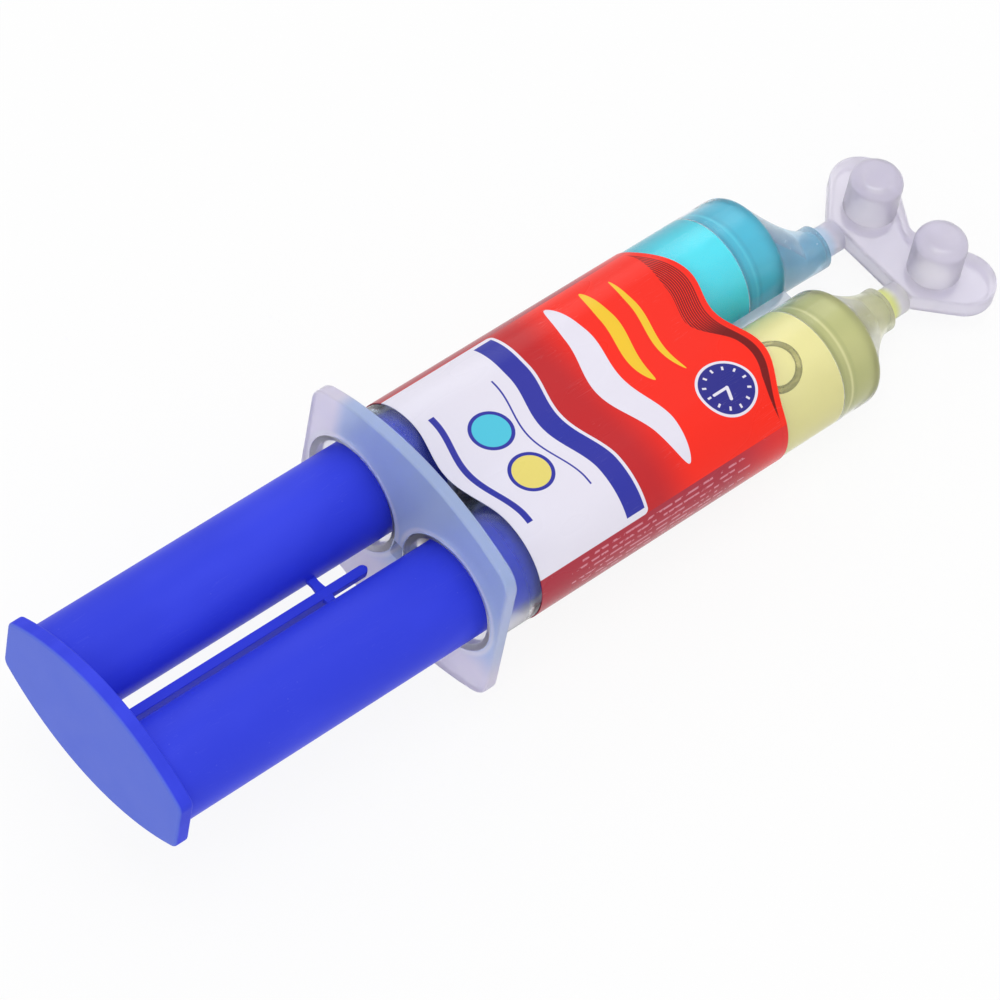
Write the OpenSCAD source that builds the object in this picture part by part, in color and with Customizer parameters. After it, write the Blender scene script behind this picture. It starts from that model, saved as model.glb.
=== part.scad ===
// Twin-barrel adhesive syringe, lying along +X with its label face up (+Z).
// The origin is the centre of the thumb plate's rear face, with the plunger fully drawn.
// The resin side is at +Y and the hardener side at -Y.

/* [Barrels] */
// Outer diameter of each barrel
barrel_d = 18.1; // [16:0.1:24]
// Gap between the two barrels
barrel_gap = 1.9; // [1.8:0.1:6]
// Wall of each barrel
barrel_wall = 0.95; // [0.7:0.05:1.2]
// Length of a barrel from the rear face of the flange to its front face
barrel_len = 73.5; // [72:0.1:90]
// Length of the narrower chamber in front of the piston stop
shoulder_len = 7.0; // [6:0.1:9]
// Step from the bore down to the narrower chamber
stop_step = 1.2; // [1:0.1:1.6]
// Radius of the rounded front edge of a barrel
front_round = 2.0; // [1.2:0.1:2.6]
// How far the front face cuts into that rounded edge
front_cut = 0.24; // [0.2:0.02:0.5]
// Width of the chamfer at the mouth of a bore
mouth_step = 0.3; // [0.2:0.1:0.9]
// Length of the web that joins the barrels behind their front faces
web_len = 22; // [10:1:24]
// Thickness of that web
web_t = 2.0; // [1:0.1:3]

/* [Finger flange] */
// How far the flange reaches past the outer side of a barrel
flange_margin = 1.45; // [1:0.05:12]
// Height of the flange at its middle
flange_h = 36; // [30:0.5:44]
// Height of the flange at its two ends, before the corners are rounded
flange_end_h = 26; // [16:0.5:28]
// Corner radius of the flange
flange_corner_r = 4; // [1:0.5:6]
// Thickness of the flange
flange_t = 2.0; // [1.2:0.1:3]

/* [Plunger] */
// Free length between the thumb plate and the flange, with the plunger drawn
plunger_draw = 51; // [46:0.5:53]
// Radial gap between a rod and its bore
rod_gap = 0.85; // [0.4:0.05:2]
// Wall of each hollow rod
rod_wall = 1.5; // [1:0.1:2.5]
// How far the thumb plate reaches past the outer side of a rod
thumb_margin = 1.05; // [0.8:0.05:6]
// Height of the thumb plate at its middle
thumb_h = 19.8; // [18:0.1:28]
// Height of the thumb plate at its two ends
thumb_end_h = 9; // [6:0.1:12]
// Corner radius of the thumb plate
thumb_corner_r = 1.6; // [0.5:0.1:3]
// Thickness of the thumb plate
thumb_t = 2.3; // [1.5:0.1:3]
// Length of each piston
piston_len = 4.6; // [4:0.1:6]
// Length of each of a piston's two sealing lips
piston_lip = 1.2; // [0.8:0.1:1.5]
// Depth of the groove between the lips
piston_groove = 0.7; // [0.4:0.1:1]
// Length of the spigot that holds a piston in its rod
spigot_len = 4; // [2:0.5:8]

/* [Stirrer] */
// Width of the stirrer stick, along Y
stirrer_w = 1.5; // [1:0.1:1.7]
// Depth of the stirrer's handle, along Z
stirrer_h = 2.3; // [1.5:0.1:2.6]
// How far the flush top of the stirrer and its tabs lies below the rods' axes
stirrer_drop = 0.9; // [0.3:0.1:1.5]
// Length of the stirrer from the thumb plate to its tip
stirrer_len = 45.4; // [40:0.1:45.5]
// Length of the thin paddle at its tip
paddle_len = 6.7; // [5:0.1:12]
// Thickness of the paddle
paddle_h = 1.2; // [0.8:0.1:1.5]
// Width of the snap tabs that tie the stirrer to the rods, along X
tab_w = 1.5; // [0.8:0.1:2]
// Thickness of the snap tabs
tab_h = 0.8; // [0.4:0.1:1]
// Gap all round the stirrer in the slot that lets it through the flange
slot_gap = 0.5; // [0.4:0.05:0.8]

/* [Nozzles] */
// Distance between the two nozzle axes
nozzle_spacing = 13.7; // [12.6:0.1:16]
// How far the nozzles lie below the barrel axes
nozzle_drop = 4.3; // [3:0.1:4.8]
// Outer diameter of a nozzle
nozzle_d = 6.8; // [5:0.1:6.9]
// Length of a nozzle from the barrel's front face to its tip
nozzle_len = 11.5; // [9:0.1:14]
// Length of the straight tip that a reseal cap fits over
nozzle_tip_len = 1.5; // [1:0.1:3]
// How strongly the nozzle's outer side is hollowed (1 for a straight slope)
nozzle_hollow_power = 1.35; // [1:0.05:1.6]
// Diameter of the nozzle's bore
nozzle_bore_d = 3.2; // [2:0.1:3.6]
// Share of the nozzle's length in which its inside narrows to the bore
funnel_share = 0.6; // [0.4:0.05:0.7]

/* [Snap-off closure] */
// Diameter of the necks between the nozzles and the closure plate
neck_d = 4.8; // [4:0.1:6]
// Length of each neck
neck_len = 3.8; // [2:0.1:6]
// Diameter of the weak ring where a neck snaps from its nozzle
snap_d = 4.2; // [3.8:0.1:5]
// Length of that weak ring
snap_len = 0.5; // [0.3:0.1:1]
// Height of the closure plate with its skirt
plate_h = 2.7; // [2:0.1:4]
// Wall of the closure plate and its skirt
plate_wall = 1.0; // [0.6:0.1:1.3]
// Distance from the closure plate's rear edge to the caps' axes
cap_set = 6.6; // [5:0.1:8]
// Outer diameter of each reseal cap
cap_d = 7.9; // [7.7:0.1:9]
// Height of each cap above the closure plate
cap_h = 7.3; // [5:0.1:10]
// Radius of the rounded top edge of a cap
cap_round = 1.9; // [1:0.1:3]
// Thickness of a cap's top
cap_top = 0.9; // [0.6:0.1:1.5]
// Half width of the straight rear edge of the closure plate
plate_rear_half = 8.8; // [8:0.1:10]
// Radius of the grip lobes
lobe_r = 5.05; // [4.5:0.05:5.5]
// Distance from the rear edge to the lobes' centres
lobe_set = 8.9; // [8:0.1:10]
// Distance from the middle plane to the lobes' centres
lobe_half = 10.6; // [10:0.1:12]

/* [Label] */
// Distance from the flange's rear face to the label's rear edge, on the sides
label_set = 9.3; // [6:0.1:12]
// Length of the label on the sides
label_len = 45.5; // [30:0.1:47]
// Thickness of the label film
label_t = 0.15; // [0.1:0.05:0.3]
// How far the rear edge dips back over the valley
rear_dip = 2.0; // [0:0.1:3]
// How far the front edge reaches forward over each barrel
front_lobe = 3.5; // [0:0.1:4]
// How far it falls back again over the valley
front_dip = 1.9; // [0:0.1:3]

/* [Fits] */
// Radial clearance of a piston in its bore
piston_fit = 0.05; // [0.02:0.01:0.1]
// Radial clearance of a spigot in its rod
spigot_fit = 0.05; // [0.02:0.01:0.1]
// Radial clearance of a reseal cap on a nozzle
cap_fit = 0.05; // [0.02:0.01:0.1]
// Gap left at the end of the plunger's travel
end_gap = 0.4; // [0.2:0.1:1]

/* [Hidden] */
$fn = 96;
HULL_FN = 32;

RESIN = 1;
HARDENER = -1;

// Overrun of every cut past the face that it leaves
over = 1.0;
// Thickness of the discs that a nozzle's slanted form is drawn between
disc_t = 0.02;
// Slices of that form
nozzle_slices = 3;

barrel_spacing = barrel_d + barrel_gap;
barrel_r = barrel_d / 2;
bore_r = barrel_r - barrel_wall;
outlet_r = bore_r - stop_step;
face_r = barrel_r - front_round + sqrt(pow(front_round, 2) - pow(front_round - front_cut, 2));
rod_r = bore_r - rod_gap;
rod_bore_r = rod_r - rod_wall;

flange_w = barrel_spacing + barrel_d + 2 * flange_margin;
thumb_w = barrel_spacing + 2 * (rod_r + thumb_margin);
flange_x = thumb_t + plunger_draw;
front_x = flange_x + barrel_len;
stop_x = front_x - shoulder_len;
stroke = plunger_draw - end_gap;
piston_front_x = stop_x - end_gap - stroke;
piston_rear_x = piston_front_x - piston_len;

nozzle_y = nozzle_spacing / 2;
nozzle_r = nozzle_d / 2;
nozzle_bore_r = nozzle_bore_d / 2;
nozzle_x = front_x + nozzle_len;
nozzle_slope_len = nozzle_len - nozzle_tip_len;
// Distance between a barrel's axis and its nozzle's axis
nozzle_shift = sqrt(pow(barrel_spacing / 2 - nozzle_y, 2) + pow(nozzle_drop, 2));

plate_x = nozzle_x + neck_len;
plate_mid_z = -nozzle_drop + plate_h / 4;
plate_low_z = plate_mid_z - plate_h / 2;
plate_top_z = plate_mid_z + plate_h / 2;
cap_x = plate_x + cap_set;
cap_bore_r = nozzle_r + cap_fit;
// Angle of the plate's front edges, and of its rear corners
front_angle = 30;
corner_angle = 45;
edge_share = 0.98;

label_r = barrel_r + label_t;
label_x = flange_x + label_set;
// Place of the front lobes, and of the lines where a wave ends, from the middle plane
wave_lobe_y = barrel_spacing * 3 / 8;
rear_wave_y = barrel_spacing / 2;
front_wave_y = barrel_spacing * 7 / 8;
// Points along each waved end of the label
wave_steps = 48;

tab_x = thumb_t + stirrer_len - paddle_len - tab_w / 2;
slot_w = stirrer_w + 2 * slot_gap;
slot_h = stirrer_h + 2 * slot_gap;
// The tabs reach far enough under the rods to meet them over their whole thickness
tab_reach = barrel_spacing / 2 - sqrt(pow(rod_r, 2) - pow(stirrer_drop + tab_h, 2));

// Turns a shape drawn up the Z axis to lie along +X, at the given distance
module along_x(x) {
    translate([x, 0, 0]) rotate([0, 90, 0]) children();
}

// Turns a flat outline, drawn with Y across and Z up, to face +X, and thickens it
module facing_x(x, t) {
    translate([x, 0, 0]) rotate([90, 0, 90]) linear_extrude(t) children();
}

module at_barrel(side) {
    translate([0, side * barrel_spacing / 2, 0]) children();
}

module at_nozzle(side) {
    translate([0, side * nozzle_y, -nozzle_drop]) children();
}

// Outline between two shallow arcs, with upright ends and rounded corners
module lens_outline(w, h, end_h, corner_r) {
    rise = (h - end_h) / 2;
    arc_r = (pow(w / 2, 2) + pow(rise, 2)) / (2 * rise);
    drop = arc_r - h / 2;
    corner_y = w / 2 - corner_r;
    corner_z = sqrt(pow(arc_r - corner_r, 2) - pow(corner_y, 2)) - drop;
    // The arc ends where it meets a corner's circle
    foot_y = corner_y * drop / (corner_z + drop);
    square([w, 2 * corner_z], center = true);
    for (up = [0, 1]) mirror([0, up]) {
        intersection() {
            translate([0, -drop]) circle(arc_r, $fn = 180);
            polygon([
                [-foot_y, 0],
                [foot_y, 0],
                [2 * corner_y, 2 * corner_z + drop],
                [-2 * corner_y, 2 * corner_z + drop]
            ]);
        }
        for (side = [-1, 1]) translate([side * corner_y, corner_z]) circle(corner_r);
    }
}

// Profile of a rod or tube with a rounded front edge, for rotate_extrude
module rounded_profile(len, r, round_r) {
    square([r, len - round_r]);
    square([r - round_r, len]);
    translate([r - round_r, len - round_r]) circle(round_r);
}

// Full outer form of one barrel, from the flange's rear face to its front face
module barrel_form() {
    along_x(flange_x) rotate_extrude() intersection() {
        rounded_profile(barrel_len + front_cut, barrel_r, front_round);
        square([barrel_r, barrel_len]);
    }
}

// Chamfered mouth that leads a piston into its bore
module mouth_cut() {
    along_x(flange_x - over) cylinder(mouth_step + over, bore_r + mouth_step + over, bore_r);
}

module finger_flange() {
    color([0.80, 0.80, 0.88]) difference() {
        facing_x(flange_x, flange_t)
            lens_outline(flange_w, flange_h, flange_end_h, flange_corner_r);
        for (side = [RESIN, HARDENER]) at_barrel(side) {
            along_x(flange_x - over) cylinder(flange_t + 2 * over, r = barrel_r);
            mouth_cut();
        }
        facing_x(flange_x - over, flange_t + 2 * over)
            translate([-slot_w / 2, -stirrer_drop - stirrer_h - slot_gap]) square([slot_w, slot_h]);
    }
}

module barrel_tube(side) {
    color([0.80, 0.80, 0.88]) at_barrel(side) difference() {
        barrel_form();
        along_x(flange_x - over) cylinder(stop_x - flange_x + over, r = bore_r);
        along_x(stop_x - over) cylinder(shoulder_len + 2 * over, r = outlet_r);
        mouth_cut();
    }
}

module resin_barrel() {
    barrel_tube(RESIN);
}

module hardener_barrel() {
    barrel_tube(HARDENER);
}

module barrel_web() {
    color([0.80, 0.80, 0.88]) difference() {
        translate([front_x - web_len, -barrel_spacing / 2 + barrel_r / 2, -web_t / 2])
            cube([web_len - front_round / 2, barrel_spacing - barrel_r, web_t]);
        for (side = [RESIN, HARDENER]) at_barrel(side) barrel_form();
    }
}

function slope_x(share) = front_x + (nozzle_slope_len - disc_t) * share;

// Radius of the nozzle's outer form at a share of its slope, from the front face to the tip
function slope_r(share) = nozzle_r + (face_r - nozzle_r) * pow(1 - share, nozzle_hollow_power);

// How far the form has moved over from the barrel's axis to the nozzle's axis, as a share.
// Its side next to the nozzle stays nearly straight, and the other side is hollowed.
function slope_shift(share) =
    (face_r + (nozzle_shift + nozzle_r - face_r) * share - slope_r(share)) / nozzle_shift;

// Disc square to the barrel, centred between the barrel's axis and the nozzle's axis
module slope_disc(side, x, r, shift) {
    translate([0, side * (barrel_spacing / 2 * (1 - shift) + nozzle_y * shift), -nozzle_drop * shift])
        along_x(x) cylinder(disc_t, r = r, $fn = HULL_FN);
}

module nozzle(side) {
    color([0.80, 0.80, 0.88]) difference() {
        union() {
            for (i = [0 : nozzle_slices - 1]) hull() {
                for (share = [i / nozzle_slices, (i + 1) / nozzle_slices])
                    slope_disc(side, slope_x(share), slope_r(share), slope_shift(share));
            }
            at_nozzle(side) along_x(front_x + nozzle_slope_len) cylinder(nozzle_tip_len, r = nozzle_r);
        }
        nozzle_space(side);
        at_barrel(side) along_x(front_x - over) cylinder(over + disc_t, r = outlet_r, $fn = HULL_FN);
        at_nozzle(side) along_x(nozzle_x - over) cylinder(2 * over, r = nozzle_bore_r);
    }
}

// Space inside a nozzle
module nozzle_space(side) {
    funnel_x = front_x + nozzle_len * funnel_share;
    hull() {
        slope_disc(side, front_x, outlet_r, 0);
        slope_disc(side, funnel_x, nozzle_bore_r, 1);
    }
    at_nozzle(side) along_x(funnel_x) cylinder(nozzle_x - funnel_x, r = nozzle_bore_r);
}

module resin_nozzle() {
    nozzle(RESIN);
}

module hardener_nozzle() {
    nozzle(HARDENER);
}

// Film wrapped round both barrels, flat across the valley between them
module wrap(r) {
    for (side = [RESIN, HARDENER]) at_barrel(side) along_x(flange_x) cylinder(barrel_len, r = r);
    translate([flange_x, -barrel_spacing / 2, -r]) cube([barrel_len, barrel_spacing, 2 * r]);
}

// Smooth hump that is 1 at zero and falls to 0 at the given reach
function hump(y, reach) = abs(y) < reach ? (1 + cos(180 * y / reach)) / 2 : 0;

function rear_x(y) = label_x - rear_dip * hump(y, rear_wave_y);

function front_edge_x(y) = label_x + label_len + (
    abs(y) < wave_lobe_y
        ? front_lobe - front_dip * hump(y, wave_lobe_y)
        : front_lobe * hump(abs(y) - wave_lobe_y, front_wave_y - wave_lobe_y)
);

module label() {
    half = barrel_spacing / 2 + label_r + over;
    rear = [for (i = [0:wave_steps]) let (y = half * (1 - 2 * i / wave_steps)) [rear_x(y), y]];
    front = [for (i = [0:wave_steps]) let (y = half * (2 * i / wave_steps - 1)) [front_edge_x(y), y]];
    color([0.85, 0.20, 0.15]) intersection() {
        difference() {
            wrap(label_r);
            wrap(barrel_r);
        }
        translate([0, 0, -label_r - over]) linear_extrude(2 * (label_r + over)) polygon(concat(rear, front));
    }
}

module liquid_column(side, tint) {
    color(tint) at_barrel(side) along_x(piston_front_x) cylinder(stop_x - piston_front_x, r = bore_r);
}

// Liquid that stays in the narrower chamber and the nozzle
module liquid_outlet(side, tint) {
    color(tint) {
        at_barrel(side) along_x(stop_x) cylinder(shoulder_len, r = outlet_r);
        nozzle_space(side);
    }
}

module resin() {
    liquid_column(RESIN, [0.30, 0.80, 0.90]);
}

module hardener() {
    liquid_column(HARDENER, [0.91, 0.88, 0.60]);
}

module resin_in_nozzle() {
    liquid_outlet(RESIN, [0.30, 0.80, 0.90]);
}

module hardener_in_nozzle() {
    liquid_outlet(HARDENER, [0.91, 0.88, 0.60]);
}

module thumb_plate() {
    color([0.26, 0.30, 0.88]) facing_x(0, thumb_t)
        lens_outline(thumb_w, thumb_h, thumb_end_h, thumb_corner_r);
}

module rod(side) {
    color([0.26, 0.30, 0.88]) at_barrel(side) along_x(thumb_t) difference() {
        cylinder(piston_rear_x - thumb_t, r = rod_r);
        translate([0, 0, rod_wall]) cylinder(piston_rear_x, r = rod_bore_r);
    }
}

module resin_rod() {
    rod(RESIN);
}

module hardener_rod() {
    rod(HARDENER);
}

// Piston with a sealing lip at each end and a spigot that plugs its rod
module piston(side) {
    seal_r = bore_r - piston_fit;
    color([0.85, 0.85, 0.88]) at_barrel(side) along_x(piston_rear_x) {
        cylinder(piston_lip, r = seal_r);
        cylinder(piston_len, r = seal_r - piston_groove);
        translate([0, 0, piston_len - piston_lip]) cylinder(piston_lip, r = seal_r);
        translate([0, 0, -spigot_len]) cylinder(spigot_len + piston_lip, r = rod_bore_r - spigot_fit);
    }
}

module resin_piston() {
    piston(RESIN);
}

module hardener_piston() {
    piston(HARDENER);
}

module stirrer() {
    tip_x = thumb_t + stirrer_len - stirrer_w / 2;
    color([0.26, 0.30, 0.88]) {
        translate([thumb_t, -stirrer_w / 2, -stirrer_drop - stirrer_h])
            cube([stirrer_len - paddle_len, stirrer_w, stirrer_h]);
        translate([thumb_t, -stirrer_w / 2, -stirrer_drop - paddle_h])
            cube([stirrer_len - stirrer_w / 2, stirrer_w, paddle_h]);
        translate([tip_x, 0, -stirrer_drop - paddle_h]) cylinder(paddle_h, r = stirrer_w / 2);
    }
}

module stirrer_tabs() {
    reach = tab_reach + over;
    color([0.26, 0.30, 0.88]) difference() {
        translate([tab_x - tab_w / 2, -reach, -stirrer_drop - tab_h]) cube([tab_w, 2 * reach, tab_h]);
        translate([tab_x - tab_w, -stirrer_w / 2, -stirrer_drop - 2 * tab_h])
            cube([2 * tab_w, stirrer_w, 2 * tab_h + over]);
        for (side = [RESIN, HARDENER]) at_barrel(side)
            along_x(tab_x - tab_w) cylinder(2 * tab_w, r = rod_r);
    }
}

// Plan of the closure plate, drawn in by the given inset
module plate_outline(inset) {
    lobe_in = lobe_r - inset;
    // The straight edges end a little inside the lobes
    edge_r = lobe_in * edge_share;
    waist_x = lobe_set + (lobe_in - lobe_half * sin(front_angle)) / cos(front_angle);
    half = [
        [waist_x, 0],
        [lobe_set + edge_r * cos(front_angle), lobe_half - edge_r * sin(front_angle)],
        [lobe_set, lobe_half],
        [lobe_set - edge_r * sin(corner_angle), lobe_half + edge_r * cos(corner_angle)],
        [inset, plate_rear_half - inset * tan(corner_angle / 2)]
    ];
    mirrored = [for (i = [4:-1:1]) [half[i][0], -half[i][1]]];
    polygon(concat(half, mirrored));
    for (side = [-1, 1]) translate([lobe_set, side * lobe_half]) circle(lobe_in);
}

module closure_plate() {
    color([0.80, 0.79, 0.86]) difference() {
        translate([plate_x, 0, plate_low_z]) linear_extrude(plate_h) plate_outline(0);
        translate([plate_x, 0, plate_low_z - over]) linear_extrude(plate_h - plate_wall + over)
            plate_outline(plate_wall);
        for (side = [RESIN, HARDENER]) translate([cap_x, side * nozzle_y, plate_low_z - over])
            cylinder(plate_h + 2 * over, r = cap_d / 2);
    }
}

// Hollow cap, open below, that closes a nozzle again once the closure is snapped off and turned round
module reseal_cap(side) {
    full_h = plate_h + cap_h;
    color([0.80, 0.79, 0.86]) translate([cap_x, side * nozzle_y, plate_low_z]) difference() {
        rotate_extrude() intersection() {
            rounded_profile(full_h, cap_d / 2, cap_round);
            square([cap_d / 2, full_h]);
        }
        translate([0, 0, -over]) cylinder(full_h - cap_top - (cap_round - cap_top) + over, r = cap_bore_r);
        translate([0, 0, full_h - cap_round - over])
            cylinder(cap_round - cap_top + over, r = cap_d / 2 - cap_round);
    }
}

module resin_cap() {
    reseal_cap(RESIN);
}

module hardener_cap() {
    reseal_cap(HARDENER);
}

// Short neck with a weak ring at the nozzle's tip, where the closure snaps off
module neck(side) {
    color([0.80, 0.79, 0.86]) at_nozzle(side) along_x(nozzle_x) {
        cylinder(neck_len, r = snap_d / 2);
        translate([0, 0, snap_len]) cylinder(neck_len - snap_len, r = neck_d / 2);
    }
}

module resin_neck() {
    neck(RESIN);
}

module hardener_neck() {
    neck(HARDENER);
}

finger_flange();
resin_barrel();
hardener_barrel();
barrel_web();
resin_nozzle();
hardener_nozzle();
label();
resin();
hardener();
resin_in_nozzle();
hardener_in_nozzle();
thumb_plate();
resin_rod();
hardener_rod();
resin_piston();
hardener_piston();
stirrer();
stirrer_tabs();
closure_plate();
resin_cap();
hardener_cap();
resin_neck();
hardener_neck();
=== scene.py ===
from math import acos, atan2, ceil, cos, degrees, pi, radians, sin, sqrt, tan

import bmesh
import bpy
from mathutils import Matrix, Vector


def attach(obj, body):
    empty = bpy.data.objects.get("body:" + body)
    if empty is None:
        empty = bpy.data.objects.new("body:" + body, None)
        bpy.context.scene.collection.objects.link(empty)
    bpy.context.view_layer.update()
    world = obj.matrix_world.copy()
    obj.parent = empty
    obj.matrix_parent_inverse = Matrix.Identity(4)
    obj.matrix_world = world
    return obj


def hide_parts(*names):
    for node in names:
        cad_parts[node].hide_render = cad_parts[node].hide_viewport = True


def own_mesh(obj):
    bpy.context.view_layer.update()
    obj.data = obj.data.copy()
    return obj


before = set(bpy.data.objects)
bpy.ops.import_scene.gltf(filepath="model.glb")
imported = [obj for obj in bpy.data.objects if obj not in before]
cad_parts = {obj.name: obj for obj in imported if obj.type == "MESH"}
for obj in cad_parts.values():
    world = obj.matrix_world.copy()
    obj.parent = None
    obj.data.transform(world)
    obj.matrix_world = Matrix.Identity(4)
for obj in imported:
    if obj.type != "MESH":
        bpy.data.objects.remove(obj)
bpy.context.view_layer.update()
mm = 0.001  # every length below is written in millimetres
print("frame read:", len(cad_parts), "solids")

layout = {
    "barrelY": 10.0,  # from the middle plane to a barrel's axis
    "barrelRadius": 9.05,
    "boreRadius": 8.1,
    "outletRadius": 6.9,
    "faceRadius": 8.0,
    "flangeX": 53.3,
    "stopX": 119.8,  # where the bore steps down
    "frontX": 126.8,
    "funnelLength": 6.9,  # from the front face to where the nozzle's bore begins
    "nozzleY": 6.85,
    "nozzleZ": -4.3,
    "nozzleRadius": 3.4,
    "nozzleBore": 1.6,
    "nozzleX": 138.3,
    "plateX": 142.1,
    "gap": 0.02,  # left between touching see-through walls
}
sides = {"resin": 1, "hardener": -1}


# a number inside a node tree: the usual signs make Math nodes of it
class NodeValue:
    def __init__(self, socket):
        self.socket, self.tree = socket, socket.id_data

    def __add__(self, other):
        return calc("ADD", self, other)

    def __sub__(self, other):
        return calc("SUBTRACT", self, other)

    def __rsub__(self, other):
        return calc("SUBTRACT", other, self)

    def __mul__(self, other):
        return calc("MULTIPLY", self, other)

    def __truediv__(self, other):
        return calc("DIVIDE", self, other)

    def __rtruediv__(self, other):
        return calc("DIVIDE", other, self)

    def __pow__(self, other):
        return calc("POWER", self, other)

    def __abs__(self):
        return calc("ABSOLUTE", self)

    __radd__, __rmul__ = __add__, __mul__


def feed(socket, value):
    if isinstance(value, NodeValue):
        value.tree.links.new(value.socket, socket)
    else:
        socket.default_value = (*value, 1) if socket.type == "RGBA" else value


# a new node: its settings first, then its inputs by name or number
def addNode(tree, kind, inputs, **settings):
    node = tree.nodes.new(kind)
    for name, value in settings.items():
        setattr(node, name, value)
    for key, value in inputs.items():
        feed(node.inputs[key], value)
    return node


# one output of a new node
def valueOf(tree, kind, inputs, output=0, **settings):
    return NodeValue(addNode(tree, kind, inputs, **settings).outputs[output])


def calc(operation, *values):
    tree = next(value.tree for value in values if isinstance(value, NodeValue))
    return valueOf(tree, "ShaderNodeMath", dict(enumerate(values)), operation=operation)


def atLeast(value, low):
    return calc("MAXIMUM", value, low)


def atMost(value, high):
    return calc("MINIMUM", value, high)


# carries low..high to toLow..toHigh, held at both ends
def ramp(value, low, high, toLow=0.0, toHigh=1.0, kind="LINEAR"):
    inputs = dict(enumerate((value, low, high, toLow, toHigh)))
    return valueOf(value.tree, "ShaderNodeMapRange", inputs, interpolation_type=kind)


# the same with soft ends
def fade(value, low, high, toLow=0.0, toHigh=1.0):
    return ramp(value, low, high, toLow, toHigh, "SMOOTHSTEP")


# 1 at zero, falling smoothly to 0 at the given reach
def hump(value, reach):
    return (calc("COSINE", ramp(abs(value), 0.0, reach) * pi) + 1.0) * 0.5


def far(a, b):  # distance from a point given as two differences
    return calc("SQRT", a * a + b * b)


def mixColour(share, first, second):
    return valueOf(share.tree, "ShaderNodeMix", {0: share, 6: first, 7: second}, 2, data_type="RGBA")


# linear colour from the numbers of a colour picker
def srgb(red, green, blue):
    shares = (red / 255, green / 255, blue / 255)
    return tuple(c / 12.92 if c <= 0.0404 else ((c + 0.055) / 1.055) ** 2.4 for c in shares)


# the piece's own coordinates, in millimetres
def objectMm(tree):
    place = valueOf(tree, "ShaderNodeTexCoord", {}, "Object")
    return valueOf(tree, "ShaderNodeVectorMath", {0: place, "Scale": 1 / mm}, operation="SCALE")


def partsOf(vector):
    return [NodeValue(part) for part in addNode(vector.tree, "ShaderNodeSeparateXYZ", {0: vector}).outputs]


def noise(where, scale, detail=2.0, rough=0.5, stretch=None):
    if stretch:
        where = valueOf(where.tree, "ShaderNodeMapping", {"Vector": where, "Scale": stretch})
    inputs = {"Vector": where, "Scale": scale, "Detail": detail, "Roughness": rough}
    return valueOf(where.tree, "ShaderNodeTexNoise", inputs)


def named(sockets):
    return {socket.name: NodeValue(socket) for socket in sockets}


socketKinds = {float: "Float", int: "Int", type(None): "Material"}  # by what an input holds at first


# a tree with named inputs and outputs: gives it, its inputs' values and its output's sockets
def newTree(kind, name, inputs, outputs):
    tree = bpy.data.node_groups.new(name, kind)
    for label, value in inputs.items():
        socketType = "NodeSocket" + socketKinds[type(value)]
        socket = tree.interface.new_socket(name=label, in_out="INPUT", socket_type=socketType)
        if value is not None:
            socket.default_value = value
    for label, output in outputs.items():
        tree.interface.new_socket(name=label, in_out="OUTPUT", socket_type="NodeSocket" + output)
    return tree, named(tree.nodes.new("NodeGroupInput").outputs), tree.nodes.new("NodeGroupOutput").inputs


# values come in the order of the group's inputs
def useGroup(tree, group, values):
    return named(addNode(tree, "ShaderNodeGroup", dict(enumerate(values)), node_tree=group).outputs)


# fine grain and slow flow marks of a moulded plastic
def buildMouldGrain():
    tree, given, made = newTree(
        "ShaderNodeTree", "mouldGrain",
        {"Grain Size": 0.25, "Flow Size": 9.0, "Roughness": 0.35, "Spread": 0.1},
        {"Roughness": "Float", "Height": "Float", "Mottle": "Float"},
    )
    where = objectMm(tree)
    grain = noise(where, 1.0 / given["Grain Size"], 3.0, 0.6)
    flow = noise(where, 1.0 / given["Flow Size"], 2.0, 0.5, (0.45, 1.0, 1.0))
    feed(made["Roughness"], given["Roughness"] + (flow - 0.5) * (given["Spread"] * 2.0))
    feed(made["Height"], grain * 0.35 + flow)
    feed(made["Mottle"], fade(flow, 0.35, 0.65))
    return tree


# dust specks and hairline scuffs, in patches
def buildHandlingMarks():
    inputs = {"Specks": 0.5, "Scuffs": 0.5}
    tree, given, made = newTree("ShaderNodeTree", "handlingMarks", inputs, {"Mask": "Float"})
    where = objectMm(tree)
    inputs = {"Vector": where, "Scale": 0.7, "Randomness": 1.0}
    cells = valueOf(tree, "ShaderNodeTexVoronoi", inputs, "Distance")
    patch = fade(noise(where, 0.13, 1.0), 0.5, 0.62)
    speck = fade(cells, 0.10, 0.06) * patch * given["Specks"]
    line = noise(where, 1.0, 1.0, 0.4, (0.12, 2.4, 1.9))
    scuff = (1.0 - fade(abs(line - 0.5), 0.0, 0.012)) * patch * given["Scuffs"]
    feed(made["Mask"], calc("MAXIMUM", speck, scuff))
    return tree


mouldGrain = buildMouldGrain()
handlingMarks = buildHandlingMarks()


# gloss: IOR, then specular and transmission where they aren't the usual ones
def newMaterial(name, gloss):
    material = bpy.data.materials.new(name)
    material.use_nodes = True
    tree = material.node_tree
    shader = tree.nodes["Principled BSDF"]
    for label, value in zip(("IOR", "Specular IOR Level", "Transmission Weight"), gloss):
        feed(shader.inputs[label], value)
    return material, tree, shader


def addBump(shader, height, strength):
    inputs = {"Strength": strength, "Distance": 0.05 * mm, "Height": height}
    feed(shader.inputs["Normal"], valueOf(height.tree, "ShaderNodeBump", inputs, "Normal"))


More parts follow.
